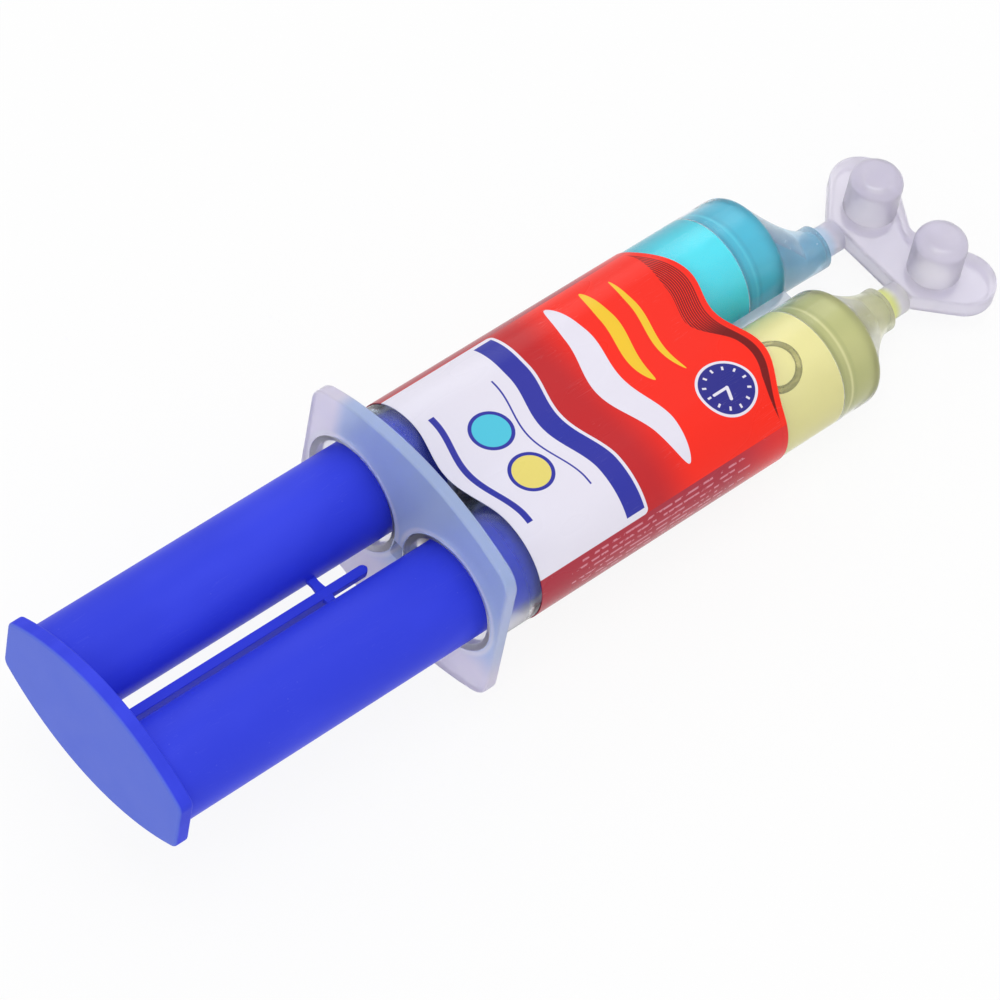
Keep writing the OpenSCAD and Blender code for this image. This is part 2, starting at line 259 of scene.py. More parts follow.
# a moulded plastic: mottled colour, scuffs, varying gloss, and see-through walls where asked
def plasticFinish(name, look):
    material, tree, shader = newMaterial(name, look["gloss"])
    surface = useGroup(tree, mouldGrain, look["grain"])
    marks = useGroup(tree, handlingMarks, look["marks"])["Mask"]
    colour = mixColour(surface["Mottle"], look["colour"], look["shade"])
    rough = surface["Roughness"] + marks * 0.25
    if "tint" in look:  # another colour at the rear, up to an x
        tint = look["tint"]
        x = partsOf(objectMm(tree))[0]
        atRear = fade(x, tint["upTo"] + tint["soft"], tint["upTo"] - tint["soft"])
        colour = mixColour(atRear, colour, tint["colour"])
        rough = rough + atRear * tint.get("rougher", 0.0)
    if "paint" in look:
        colour = look["paint"](tree, colour)
    feed(shader.inputs["Base Color"], mixColour(marks, colour, look["mark"]))
    feed(shader.inputs["Roughness"], rough)
    addBump(shader, surface["Height"], look["bump"])
    if "clear" in look:
        clear = look["clear"]
        facing = valueOf(tree, "ShaderNodeLayerWeight", {"Blend": 0.5}, "Facing")
        alpha = ramp(facing ** clear["power"], 0.0, 1.0, clear["face"], clear["edge"])
        alpha = alpha + marks * 0.2 + surface["Mottle"] * clear["cloud"]
        feed(shader.inputs["Alpha"], atMost(alpha, 1.0))
    return material


def ring(bm, points):
    return [bm.verts.new(Vector(point) * mm) for point in points]


# faces from each ring to the next; a pole is a ring of one point
def bridge(bm, *rows):
    for first, second in zip(rows, rows[1:]):
        for i in range(max(len(first), len(second))):
            corners = [first[i % len(first)], first[(i + 1) % len(first)]]
            corners += [second[(i + 1) % len(second)], second[i % len(second)]]
            bm.faces.new(list(dict.fromkeys(corners)))


# flat face inside the first ring, with the other rings as its holes
def cover(bm, rings):
    edges = []
    for points in rings:
        for i, point in enumerate(points):
            after = points[(i + 1) % len(points)]
            edges.append(bm.edges.get((point, after)) or bm.edges.new((point, after)))
    bmesh.ops.triangle_fill(bm, use_beauty=True, use_dissolve=False, edges=edges)


# a tube over its rings, with a flat face at each end
def tube(bm, rows):
    bridge(bm, *rows)
    cover(bm, [rows[0]])
    cover(bm, [rows[-1]])


# rounds the corners of a line: each point is (a, b) or (a, b, radius); steps makes all corners alike
def softened(points, closed=True, step=15, steps=None):
    made = []
    count = len(points)
    for i, point in enumerate(points):
        radius = point[2] if len(point) > 2 else 0
        here = Vector(point[:2])
        if radius <= 0 or (not closed and i in (0, count - 1)):
            made.append(tuple(here))
            continue
        back = Vector(points[i - 1][:2]) - here
        ahead = Vector(points[(i + 1) % count][:2]) - here
        half = back.angle(ahead) / 2
        reach = min(radius / tan(half), back.length * 0.49, ahead.length * 0.49)
        back, ahead = back.normalized(), ahead.normalized()
        middle = here + (back + ahead).normalized() * (reach / cos(half))
        start, end = here + back * reach - middle, here + ahead * reach - middle
        turn = (pi - 2 * half) * (1 if start.cross(end) > 0 else -1)
        cuts = steps or max(3, ceil(degrees(abs(turn)) / step))
        made += [tuple(middle + Matrix.Rotation(turn * k / cuts, 2) @ start) for k in range(cuts + 1)]
    return made


def roundedBox(wide, high, corner, step=15, lift=0.0):
    corners = ((1, -1), (1, 1), (-1, 1), (-1, -1))
    return softened([(a * wide, lift + b * high, corner) for a, b in corners], step=step)


def arcOf(a, b, radius, first, last, steps):
    turns = [first + (last - first) * k / steps for k in range(steps + 1)]
    return [(a + radius * cos(turn), b + radius * sin(turn)) for turn in turns]


def circle(a, b, radius, steps=96):
    return arcOf(a, b, radius, 0, 2 * pi, steps)[:-1]


# revolves a profile of (along, radius) points; it starts and ends on the axis, or closes on itself
def turned(profile, centre, axis="x", steps=96):
    bm = bmesh.new()
    rows = []
    for along, radius in profile:
        loop = circle(*centre, radius, steps) if radius > 1e-6 else [centre]
        rows.append(ring(bm, [(along, a, b) if axis == "x" else (a, b, along) for a, b in loop]))
    if len(rows[0]) > 1:
        rows.append(rows[0])
    bridge(bm, *rows)
    return bm


# plate across the barrels with rounded edges; holesAt(grow) gives its holes
def slab(shape, low, holesAt=lambda grow: []):
    bm = bmesh.new()
    high, edge = low + shape["thickness"], shape["edge"]
    turns = [pi / 2 * k / 4 for k in range(5)]
    levels = [(edge * (1 - sin(turn)), low + edge * (1 - cos(turn))) for turn in turns]
    levels += [(edge * (1 - cos(turn)), high - edge * (1 - sin(turn))) for turn in turns]
    walls = []
    for number in range(1 + len(holesAt(0))):
        rows = []
        for inset, x in levels:
            loop = holesAt(inset)[number - 1] if number else lensOutline(shape, inset)
            rows.append(ring(bm, [(x, a, b) for a, b in loop]))
        bridge(bm, *rows)
        walls.append(rows)
    cover(bm, [rows[0] for rows in walls])
    cover(bm, [rows[-1] for rows in walls])
    return bm


# outline between two shallow arcs, with upright ends and rounded corners
def lensOutline(shape, inset):
    width, height, corner = shape["width"], shape["height"], shape["corner"]
    rise = (height - shape["endHeight"]) / 2
    arc = ((width / 2) ** 2 + rise**2) / (2 * rise)
    drop = arc - height / 2
    cornerA = width / 2 - corner
    cornerB = sqrt((arc - corner) ** 2 - cornerA**2) - drop
    lean = atan2(cornerA, cornerB + drop)  # where the arc meets the corner's circle
    quarter = arcOf(cornerA, cornerB, corner - inset, 0, pi / 2 - lean, 10)
    for k in range(1, 16):
        turn = lean * (1 - k / 16)
        quarter.append(((arc - inset) * sin(turn), (arc - inset) * cos(turn) - drop))
    top = quarter + [(0, height / 2 - inset)] + [(-a, b) for a, b in reversed(quarter)]
    return top + [(-a, -b) for a, b in top]


def placed(name, data):
    thing = bpy.data.objects.new(name, data)
    bpy.context.scene.collection.objects.link(thing)
    return thing


# closes a mesh into a finished piece of the object
def piece(name, bm, material, body, stands=()):
    bmesh.ops.remove_doubles(bm, verts=bm.verts, dist=0.0005 * mm)
    bmesh.ops.recalc_face_normals(bm, faces=bm.faces)
    mesh = bpy.data.meshes.new(name)
    bm.to_mesh(mesh)
    bm.free()
    mesh.shade_smooth()
    mesh.set_sharp_from_angle(angle=radians(38))
    mesh.materials.append(material)
    thing = placed(name, mesh)
    thing.modifiers.new("evenShading", "WEIGHTED_NORMAL").keep_sharp = True
    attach(thing, body)
    if stands:
        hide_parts(*stands)
    return thing


print("tools ready")


def fromAxis(y, z):  # distance from the nearer barrel's axis
    return far(abs(y) - layout["barrelY"], z)


flangeTones = {
    "blue": (0.56, 0.68, 0.93), "blueY": -3.0, "blueEnds": (19.4, 16.5), "blueLow": (-10.0, -3.0),
    "pale": (0.93, 0.93, 0.99), "highlightRadius": 9.5, "highlightWidth": 0.7, "highlightShare": 0.8,
}


# bluer where the rods stand behind the flange, with a painted highlight: a pale ring round each barrel
def flangePaint(tree, colour):
    _, y, z = partsOf(objectMm(tree))
    share = fade(abs(y - flangeTones["blueY"]), *flangeTones["blueEnds"])
    share = share * fade(z, *flangeTones["blueLow"])
    colour = mixColour(share, colour, flangeTones["blue"])
    # painted highlight round the edge of each barrel's hole
    pale = hump(fromAxis(y, z) - flangeTones["highlightRadius"], flangeTones["highlightWidth"])
    return mixColour(pale * flangeTones["highlightShare"], colour, flangeTones["pale"])


barrelTones = {
    "shadedRodTint": (0.56, 0.67, 0.80), "from": (55.2, 56.0), "to": (65.0, 61.0),
    "outside": (8.5, 8.8), "top": (-1.0, 3.0),
}


# the outside is darker and bluer on its upper side between the flange and the label, where the rods show
# through; the darkening is painted shade
def barrelPaint(tree, colour):
    x, y, z = partsOf(objectMm(tree))
    # painted shade: a darker blue for the rods in shadow behind the wall
    share = fade(x, *barrelTones["from"]) * fade(x, *barrelTones["to"])
    share = share * ramp(fromAxis(y, z), *barrelTones["outside"]) * fade(z, *barrelTones["top"])
    return mixColour(share, colour, barrelTones["shadedRodTint"])


# grain: its size, the flow marks' size, roughness and its spread; marks: specks and scuffs; mark: their colour
flangePlastic = plasticFinish("flangePlastic", {
    "colour": (0.93, 0.89, 0.99), "shade": (0.88, 0.84, 0.96), "mark": (0.95, 0.95, 0.98),
    "grain": (0.3, 8.0, 0.34, 0.08), "marks": (0.3, 0.2), "bump": 0.2,
    "gloss": (1.25, 0.5, 0.5), "paint": flangePaint,
})
barrelPlastic = plasticFinish("barrelPlastic", {
    "colour": (0.985, 0.985, 0.99), "shade": (0.97, 0.97, 0.985), "mark": (0.95, 0.95, 0.98),
    "grain": (0.4, 11.0, 0.12, 0.04), "marks": (0.4, 0.2), "bump": 0.1,
    "gloss": (1.22, 0.5, 0.95), "paint": barrelPaint,
    "tint": {"upTo": 61.0, "soft": 1.5, "colour": (0.96, 0.95, 0.99), "rougher": 0.2},
})
nozzleTones = {  # colour and shade
    "resin": ((0.52, 0.76, 0.92), (0.60, 0.80, 0.95)),
    "hardener": ((0.90, 0.90, 0.66), (0.92, 0.92, 0.78)),
}
nozzlePlastics = {name: plasticFinish(name + "NozzlePlastic", {
    "colour": colour, "shade": shade, "mark": (0.9, 0.92, 0.96),
    "grain": (0.4, 6.0, 0.24, 0.08), "marks": (0.2, 0.1), "bump": 0.15,
    "gloss": (1.45, 0.4, 0.78),
}) for name, (colour, shade) in nozzleTones.items()}
webPlastic = plasticFinish("webPlastic", {
    "colour": (0.75, 0.80, 0.92), "shade": (0.66, 0.74, 0.90), "mark": (0.95, 0.95, 0.98),
    "grain": (0.4, 6.0, 0.25, 0.08), "marks": (0.2, 0.2), "bump": 0.1,
    "gloss": (1.47, 0.3), "clear": {"face": 0.4, "edge": 0.6, "power": 3.0, "cloud": 0.06},
})
closureLook = {
    "colour": (0.90, 0.87, 0.96), "shade": (0.85, 0.82, 0.93), "mark": (0.97, 0.97, 0.99),
    "grain": (0.35, 6.0, 0.3, 0.05), "marks": (0.0, 0.0), "bump": 0.05,
    "gloss": (1.3, 0.7, 0.66),
}
closurePlastic = plasticFinish("closurePlastic", closureLook)
neckTints = {"resin": (0.55, 0.72, 0.92), "hardener": (0.80, 0.85, 0.22)}  # of the liquid behind
neckPlastics = {name: plasticFinish(name + "NeckPlastic", {
    **closureLook, "colour": (0.95, 0.93, 0.99), "gloss": (1.15, 0.6, 0.55),
    "tint": {"upTo": 140.1, "soft": 0.8, "colour": tint},
}) for name, tint in neckTints.items()}
plungerLook = {
    "colour": (0.044, 0.066, 0.80), "shade": (0.036, 0.056, 0.73), "mark": (0.12, 0.15, 0.80),
    "grain": (0.3, 12.0, 0.4, 0.08), "marks": (0.3, 0.15), "bump": 0.3, "gloss": (1.25, 0.3),
}
plungerPlastic = plasticFinish("plungerPlastic", plungerLook)
# the rear face's lighter tint is a painted sheen, standing in for the bright surroundings it reflects
thumbPlastic = plasticFinish("thumbPlastic", {
    **plungerLook, "tint": {"upTo": 0.25, "soft": 0.2, "colour": (0.115, 0.175, 0.74)},
    "grain": (0.25, 5.0, 0.42, 0.1), "bump": 0.4,
})
pistonPlastic = plasticFinish("pistonPlastic", {
    "colour": (0.72, 0.72, 0.76), "shade": (0.64, 0.64, 0.70), "mark": (0.85, 0.85, 0.88),
    "grain": (0.3, 6.0, 0.4, 0.1), "marks": (0.1, 0.3), "bump": 0.3, "gloss": (1.5,),
})
bubbleRim = plasticFinish("bubbleRim", {
    "colour": (0.48, 0.46, 0.16), "shade": (0.36, 0.35, 0.12), "mark": (0.9, 0.88, 0.6),
    "grain": (0.5, 2.0, 0.12, 0.05), "marks": (0.0, 0.0), "bump": 0.1,
    "gloss": (1.4,), "clear": {"face": 0.35, "edge": 0.7, "power": 1.5, "cloud": 0.25},
})


# liquid behind a wall: slow clouds, painted shade that makes it deeper below and on its outer side, and bands
# across it
def pasteFinish(name, look):
    material, tree, shader = newMaterial(name, (1.45, 0.35))
    where = objectMm(tree)
    x, y, z = partsOf(where)
    cloud = fade(noise(where, 0.16, 2.0, 0.5, (0.5, 1.0, 1.0)), 0.3, 0.7)
    # painted shade: darker towards the bottom and towards the outer side
    low = fade(z, -1.0, -8.0)
    outerShade = fade(abs(y) - layout["barrelY"], 1.0, 7.6)
    colour = mixColour(cloud, look["colour"], look["shade"])
    colour = mixColour(calc("MAXIMUM", low, outerShade) * look["shadeShare"], colour, look["deep"])
    for at, reach, share, band in look.get("bands", []):
        colour = mixColour(hump(x - at, reach) * share, colour, band)
    feed(shader.inputs["Base Color"], colour)
    feed(shader.inputs["Roughness"], ramp(cloud, 0.0, 1.0, 0.14, 0.24))
    return material


# bands: middle, reach, share and colour
# deep is the colour of the painted shade, and shadeShare is how much of it is laid on
resinPaste = pasteFinish("resinPaste", {
    "colour": (0.055, 0.86, 1.0), "shade": (0.042, 0.80, 0.98), "deep": (0.020, 0.44, 0.58), "shadeShare": 0.85,
})
hardenerPaste = pasteFinish("hardenerPaste", {
    "colour": (0.97, 0.91, 0.40), "shade": (0.94, 0.88, 0.37), "deep": (0.72, 0.68, 0.26), "shadeShare": 0.5,
})
resinDeep = pasteFinish("resinDeep", {
    "colour": (0.040, 0.55, 0.76), "shade": (0.032, 0.48, 0.68), "deep": (0.03, 0.42, 0.62), "shadeShare": 0.4,
    # the thin bright band at 121.9 is a painted highlight line, with a dark line on each side
    "bands": [
        (120.4, 0.8, 0.7, (0.02, 0.34, 0.54)), (121.9, 0.4, 0.5, (0.10, 0.72, 0.88)),
        (122.6, 0.5, 0.4, (0.02, 0.36, 0.56)), (134.5, 8.5, 0.95, (0.34, 0.70, 0.88)),
    ],
})
hardenerDeep = pasteFinish("hardenerDeep", {
    "colour": (0.56, 0.57, 0.22), "shade": (0.50, 0.52, 0.19), "deep": (0.42, 0.43, 0.15), "shadeShare": 0.4,
    # the thin bright band at 121.9 is a painted highlight line, with a dark line on each side
    "bands": [
        (120.4, 0.8, 0.6, (0.36, 0.38, 0.13)), (121.9, 0.4, 0.6, (0.84, 0.82, 0.40)),
        (122.6, 0.5, 0.4, (0.40, 0.42, 0.14)), (134.5, 8.5, 0.9, (0.84, 0.84, 0.50)),
    ],
})
print("plain materials ready")

# places on the print are x, and the distance round the film from the top of the valley
white, navy, yellow = srgb(236, 233, 246), srgb(42, 52, 165), srgb(250, 205, 50)
labelPrint = {
    "rearX": 62.6, "length": 45.5, "rearDip": 2.0, "frontLobe": 3.5, "frontDip": 1.9,
    "lobeY": 7.5, "rearReach": 10.0, "frontReach": 10.0,
    "radius": 9.2, "thickness": 0.13, "soft": 0.035, "topHalf": 27.0,
    "red": srgb(255, 42, 22), "crimson": srgb(198, 38, 42), "crimsonTo": (84.0, 92.0),
    # side is the painted shade laid on the film's sides
    "side": srgb(176, 50, 66), "sideShadeFade": (108.0, 96.0), "dark": srgb(120, 14, 12),
    "fine": srgb(226, 150, 165),
    "panelLow": -19.9, "panelHigh": 16.6, "panelFront": 82.3, "panelCorner": 0.8, "panelRim": 0.4,
    "waveMiddle": -1.2, "waveReach": 9.5, "waveDepth": 1.9,
    "bandRear": 78.6, "bandFront": 81.8, "bandLow": -18.9, "bandHigh": 15.7,
    "swooshes": [  # middle, from, to, thickness, colour
        (91.0, -17.0, 15.0, 4.6, white), (96.6, -4.0, 14.0, 2.3, yellow), (101.2, -5.0, 13.0, 1.2, yellow),
    ],
    "waveLines": [(65.2, -12.0, 9.0, 1.0), (76.2, -12.0, 9.0, 0.28)],  # middle, from, to, thickness
    "discs": [  # x, round, radius, colour
        (70.7, 2.6, 3.3, navy), (70.7, 2.6, 2.75, srgb(80, 205, 230)),
        (70.7, -5.8, 3.3, navy), (70.7, -5.8, 2.75, srgb(238, 222, 120)),
    ],
    "badge": {
        "x": 102.4, "around": -10.7, "radius": 4.5, "ring": 0.4, "colour": srgb(38, 44, 140),
        "tickInner": 2.95, "tickOuter": 3.55, "tick": 0.32,
        "hands": [(180, 2.4, 0.42), (-110, 1.8, 0.5)],  # heading, length, thickness
    },
    "rules": [  # round, from, to
        (-20.9, 70, 100), (-21.9, 68, 98), (-22.9, 71, 101),
        (-23.9, 68, 97), (-24.9, 70, 101), (-25.9, 73, 96),
    ],
    "ruleHalf": 0.17, "ruleShare": 0.8,
    "below": {
        "x": 84.0, "halfLength": 19.0, "halfWidth": 9.0, "corner": 1.0, "underZ": -8.0,
        "pitch": 1.9, "line": (0.44, 0.56), "lineHalf": 16.5, "margin": 1.6, "share": 0.7,
    },
    "grain": (0.6, 14.0, 0.27, 0.08), "marks": (0.12, 0.25),
    "frontRim": 1.0, "stripesThick": 3.7, "crescentThick": 1.25, "stripePitch": 0.36,
    "stripesFrom": (-5.5, 1.5), "stripesEnd": (16.5, 7.0),
    "crescentEnd": (-18.6, -12.0), "crescentFrom": (1.0, -3.5),
}


# how far the label's front edge runs ahead, at a distance from the middle plane
def frontRun(sideways, lobeY, reach, lobe, dip):
    return hump(atLeast(sideways - lobeY, 0.0), reach) * lobe - hump(atMost(sideways, lobeY), lobeY) * dip


def labelFinish():
    look = labelPrint
    material, tree, shader = newMaterial("labelFilmPrint", (1.5, 0.18))
    soft = look["soft"]
    where = objectMm(tree)
    x, y, z = partsOf(where)

    def over(value, edge):  # 1 where value is above edge
        return ramp(value - edge, -soft, soft)

    def within(value, edge):  # 1 where value is below edge
        return 1.0 - over(value, edge)

    def between(value, low, high):
        return over(value, low) * within(value, high)

    def boxed(a, halfA, b, halfB, corner):  # 1 inside a box with round corners
        return within(far(atLeast(a - (halfA - corner), 0.0), atLeast(b - (halfB - corner), 0.0)), corner)

    def paint(mask, tint):  # over all that is there so far
        nonlocal colour
        colour = mixColour(mask, colour, tint)

    # distance round the film from the top of the valley, + towards the resin side
    sideways = abs(y)
    flat = atMost(sideways, layout["barrelY"])
    angle = calc("ARCTAN2", atLeast(sideways - layout["barrelY"], 0.0), z)
    flat = flat + calc("LESS_THAN", z, 0.0) * (2 * layout["barrelY"] - flat * 2.0)
    around = (flat + angle * look["radius"]) * calc("SIGN", y)
    onTop = calc("LESS_THAN", abs(around), look["topHalf"])

    wave = hump(around - look["waveMiddle"], look["waveReach"]) * -look["waveDepth"]
    along = x - wave  # straightened by the panel's wave
    run = frontRun(sideways, look["lobeY"], look["frontReach"], look["frontLobe"], look["frontDip"])
    back = (look["rearX"] + look["length"] + run) - x  # distance behind the front edge

    # red field, darker at the rear, with painted shade on the sides
    colour = mixColour(fade(x, *look["crimsonTo"]), look["crimson"], look["red"])
    onSide = atLeast(over(around, look["panelHigh"] + look["panelRim"]), within(around, look["panelLow"]))
    paint(onSide * fade(x, *look["sideShadeFade"], 0.35, 1.0), look["side"])

    # swooshes across the red field, pointed at both ends
    for middle, low, high, thick, tint in look["swooshes"]:
        share = (around - (low + high) / 2) / ((high - low) / 2)
        body = atLeast(1.0 - share * share, 0.0)
        edge = body**0.6 * (thick / 2) - abs(along - middle)
        paint(ramp(edge, -soft, soft) * ramp(body, 0.0, 0.02), tint)

    # fine lines behind the front edge, ending in a plain crescent over the hardener barrel
    reach = fade(around, *look["stripesFrom"], look["crescentThick"], look["stripesThick"])
    reach = reach * (fade(around, *look["stripesEnd"]) * ramp(around, *look["crescentEnd"]))
    behind = back - look["frontRim"]
    lines = ramp(calc("SINE", behind * (2 * pi / look["stripePitch"])), -0.55, -0.05)
    lines = calc("MAXIMUM", lines, fade(around, *look["crescentFrom"]))
    paint(over(behind, 0.0) * over(reach - behind, 0.0) * lines, look["dark"])

    # white panel with a navy band and wave lines
    middle, half = (look["panelLow"] + look["panelHigh"]) / 2, (look["panelHigh"] - look["panelLow"]) / 2
    panel = boxed(along, look["panelFront"], abs(around - middle), half, look["panelCorner"])
    paint(panel * onTop, white)
    band = between(along, look["bandRear"], look["bandFront"])
    band = band * between(around, look["bandLow"], look["bandHigh"])
    paint(band * onTop, navy)
    for middle, low, high, thick in look["waveLines"]:
        line = between(along, middle - thick / 2, middle + thick / 2) * between(around, low, high)
        paint(line * onTop, navy)

    # two ringed discs, one for each liquid
    for discX, discAround, radius, tint in look["discs"]:
        paint(within(far(x - discX, around - discAround), radius) * onTop, tint)

    # badge: navy disc, white ring, and a plain clock face
    badge = look["badge"]
    bx, bw = x - badge["x"], around - badge["around"]
    distance = far(bx, bw)
    paint(within(distance, badge["radius"]), white)
    paint(within(distance, badge["radius"] - badge["ring"]), badge["colour"])
    twelfth = pi / 6
    offTick = (calc("FRACT", calc("ARCTAN2", bw, bx) / twelfth + 0.5) - 0.5) * twelfth
    tick = ramp(abs(offTick) * distance, badge["tick"] / 2 + soft, badge["tick"] / 2 - soft)
    paint(tick * between(distance, badge["tickInner"], badge["tickOuter"]), white)
    for heading, length, thick in badge["hands"]:
        cosine, sine = cos(radians(heading)), sin(radians(heading))
        forward, across = bx * cosine + bw * sine, bw * cosine - bx * sine
        past = forward - atMost(atLeast(forward, 0.0), length)
        paint(within(far(past, across), thick / 2), white)

    # broken rules on the hardener side, and a ruled pale panel underneath
    dashes = ramp(noise(where, 1.0, 1.0, 0.5, (1.1, 0.9, 0.9)), 0.44, 0.5)
    for at, low, high in look["rules"]:
        rule = between(around, at - look["ruleHalf"], at + look["ruleHalf"]) * between(x, low, high)
        paint(rule * dashes * look["ruleShare"], look["fine"])
    below = look["below"]
    lowSide = calc("LESS_THAN", z, below["underZ"])
    sheet = boxed(abs(x - below["x"]), below["halfLength"], sideways, below["halfWidth"], below["corner"])
    paint(sheet * lowSide, white)
    line = between(calc("FRACT", (y + 50.0) / below["pitch"]), *below["line"])
    line = line * between(x, below["x"] - below["lineHalf"], below["x"] + below["lineHalf"])
    line = line * calc("LESS_THAN", sideways, below["halfWidth"] - below["margin"]) * lowSide
    paint(line * below["share"], navy)

    surface = useGroup(tree, mouldGrain, look["grain"])
    marks = useGroup(tree, handlingMarks, look["marks"])["Mask"]
    paint(surface["Mottle"] * 0.05, (0.25, 0.1, 0.12))
    feed(shader.inputs["Base Color"], mixColour(marks * 0.2, colour, (0.8, 0.75, 0.8)))
    feed(shader.inputs["Roughness"], surface["Roughness"] + marks * 0.2)
    addBump(shader, surface["Height"], 0.12)
    return material


labelFilmPrint = labelFinish()
print("label print ready")


# a grid with its row and column shares, both from 0 to 1
def gridOver(tree, rows, columns):
    grid = valueOf(tree, "GeometryNodeMeshGrid", {"Vertices X": rows, "Vertices Y": columns}, "Mesh")
    index = valueOf(tree, "GeometryNodeInputIndex", {})
    row = calc("FLOOR", (index + 0.5) / columns)
    column = index - row * columns
    return grid, row / (rows - 1.0), column / (columns - 1.0)


# moves the grid's points to x, y and z, closes its seams and ends the tree
def placeAndEnd(mesh, places, material, out):
    tree = mesh.tree
    place = valueOf(tree, "ShaderNodeCombineXYZ", dict(enumerate(places)))
    steps = [
        ("GeometryNodeSetPosition", {"Position": place}),
        ("GeometryNodeMergeByDistance", {"Distance": 0.002 * mm}),
        ("GeometryNodeRealizeInstances", {}),
        ("GeometryNodeSetMaterial", {"Material": material}),
    ]
    for kind, inputs in steps:
        mesh = valueOf(tree, kind, {"Geometry": mesh, **inputs})
    feed(out[0], mesh)


# runs a tree, keeps its result as a plain mesh and makes a piece of it
def grown(name, tree, values, body, stands):
    seed = placed(name + "Seed", bpy.data.meshes.new(name + "Seed"))
    maker = seed.modifiers.new("maker", "NODES")
    maker.node_group = tree
    for item in tree.interface.items_tree:
        if item.item_type == "SOCKET" and item.in_out == "INPUT" and item.name in values:
            maker[item.identifier] = values[item.name]
    graph = bpy.context.evaluated_depsgraph_get()
    mesh = bpy.data.meshes.new_from_object(seed.evaluated_get(graph), depsgraph=graph)
    bpy.data.objects.remove(seed)
    bm = bmesh.new()
    bm.from_mesh(mesh)
    bpy.data.meshes.remove(mesh)
    return piece(name, bm, values["Material"], body, stands)


def inMetres(table, names):
    return {label: table[name] * mm for label, name in names.items()}


nozzleShape = {
    **inMetres(layout, {
        "Base X": "frontX", "Barrel Y": "barrelY", "Nozzle Y": "nozzleY", "Nozzle Z": "nozzleZ",
        "Base Radius": "faceRadius", "Tip Radius": "nozzleRadius", "Bore Radius": "nozzleBore",
        "Inlet Radius": "outletRadius", "Funnel Length": "funnelLength",
    }),
    "Slope Length": 10.0 * mm, "Tip Length": 1.5 * mm,
    "Hollow Power": 1.35, "Side": 1.0, "Rows": 61, "Columns": 73, "Material": None,
}


# hollow slope from a barrel's front face to its nozzle: outside, tip, bore and funnel in one closed skin
def buildNozzleTree():
    tree, given, out = newTree("GeometryNodeTree", "slopedNozzle", nozzleShape, {"Geometry": "Geometry"})
    mesh, row, column = gridOver(tree, given["Rows"], given["Columns"])
    slope, tip, face = ramp(row, 0.0, 0.4), ramp(row, 0.4, 0.5), ramp(row, 0.5, 0.55)
    bore, funnel, base = ramp(row, 0.55, 0.65), ramp(row, 0.65, 0.95), ramp(row, 0.95, 1.0)
    baseRadius, tipRadius = given["Base Radius"], given["Tip Radius"]
    boreRadius, inletRadius = given["Bore Radius"], given["Inlet Radius"]
    outer = tipRadius + (baseRadius - tipRadius) * (1.0 - slope) ** given["Hollow Power"]
    sideStep = given["Barrel Y"] - given["Nozzle Y"]
    shiftLength = far(sideStep, given["Nozzle Z"])
    straight = baseRadius + (shiftLength + tipRadius - baseRadius) * slope  # the side away from the middle
    shift = (straight - outer) / shiftLength - funnel
    radius = outer - (tipRadius - boreRadius) * face
    radius = radius + (inletRadius - boreRadius) * funnel
    radius = radius + (baseRadius - inletRadius) * base
    boreLength = given["Slope Length"] + given["Tip Length"] - given["Funnel Length"]
    x = given["Base X"] + (slope * given["Slope Length"] + tip * given["Tip Length"])
    x = x - bore * boreLength - funnel * given["Funnel Length"]
    turn = column * (2 * pi)
    y = (given["Barrel Y"] - sideStep * shift) * given["Side"] + radius * calc("COSINE", turn)
    z = given["Nozzle Z"] * shift + radius * calc("SINE", turn)
    placeAndEnd(mesh, (x, y, z), given["Material"], out)
    return tree


labelShape = {
    **inMetres(labelPrint, {
        "Rear X": "rearX", "Length": "length", "Rear Dip": "rearDip", "Rear Reach": "rearReach",
        "Front Lobe": "frontLobe", "Front Dip": "frontDip", "Lobe Y": "lobeY", "Front Reach": "frontReach",
        "Radius": "radius", "Thickness": "thickness",
    }),
    "Barrel Y": layout["barrelY"] * mm, "Rows": 41, "Columns": 241, "Material": None,
}


# film wrapped round both barrels, flat across the valley, with waved ends
def buildLabelTree():
    tree, given, out = newTree("GeometryNodeTree", "wrappedLabel", labelShape, {"Geometry": "Geometry"})
    mesh, row, column = gridOver(tree, given["Rows"], given["Columns"])
    forward = ramp(row, 0.0, 0.45) - ramp(row, 0.5, 0.95)
    inner = ramp(row, 0.45, 0.5) - ramp(row, 0.95, 1.0)
    radius = given["Radius"] - inner * given["Thickness"]
    halfTurn = given["Radius"] * pi
    around = (column * 2.0 - 1.0) * (given["Barrel Y"] * 2.0 + halfTurn)
    distance = abs(around)
    angle = atMost(atLeast(distance - given["Barrel Y"], 0.0), halfTurn) / given["Radius"]
    past = atLeast(distance - (given["Barrel Y"] + halfTurn), 0.0)
    sideways = atMost(distance, given["Barrel Y"]) + radius * calc("SINE", angle) - past
    rear = given["Rear X"] - hump(sideways, given["Rear Reach"]) * given["Rear Dip"]
    run = frontRun(sideways, given["Lobe Y"], given["Front Reach"], given["Front Lobe"], given["Front Dip"])
    front = given["Rear X"] + given["Length"] + run
    x = rear + (front - rear) * forward
    y = sideways * calc("SIGN", around)
    placeAndEnd(mesh, (x, y, radius * calc("COSINE", angle)), given["Material"], out)
    return tree


slopedNozzle = buildNozzleTree()
wrappedLabel = buildLabelTree()
print("trees ready")

flange = {
    "width": 41.0, "height": 36.0, "endHeight": 26.0, "corner": 4.0, "thickness": 2.0, "edge": 0.35,
    "slotWide": 2.5, "slotHigh": 3.3, "slotZ": -2.05, "slotCorner": 0.3, "slotEdge": 0.2,
}


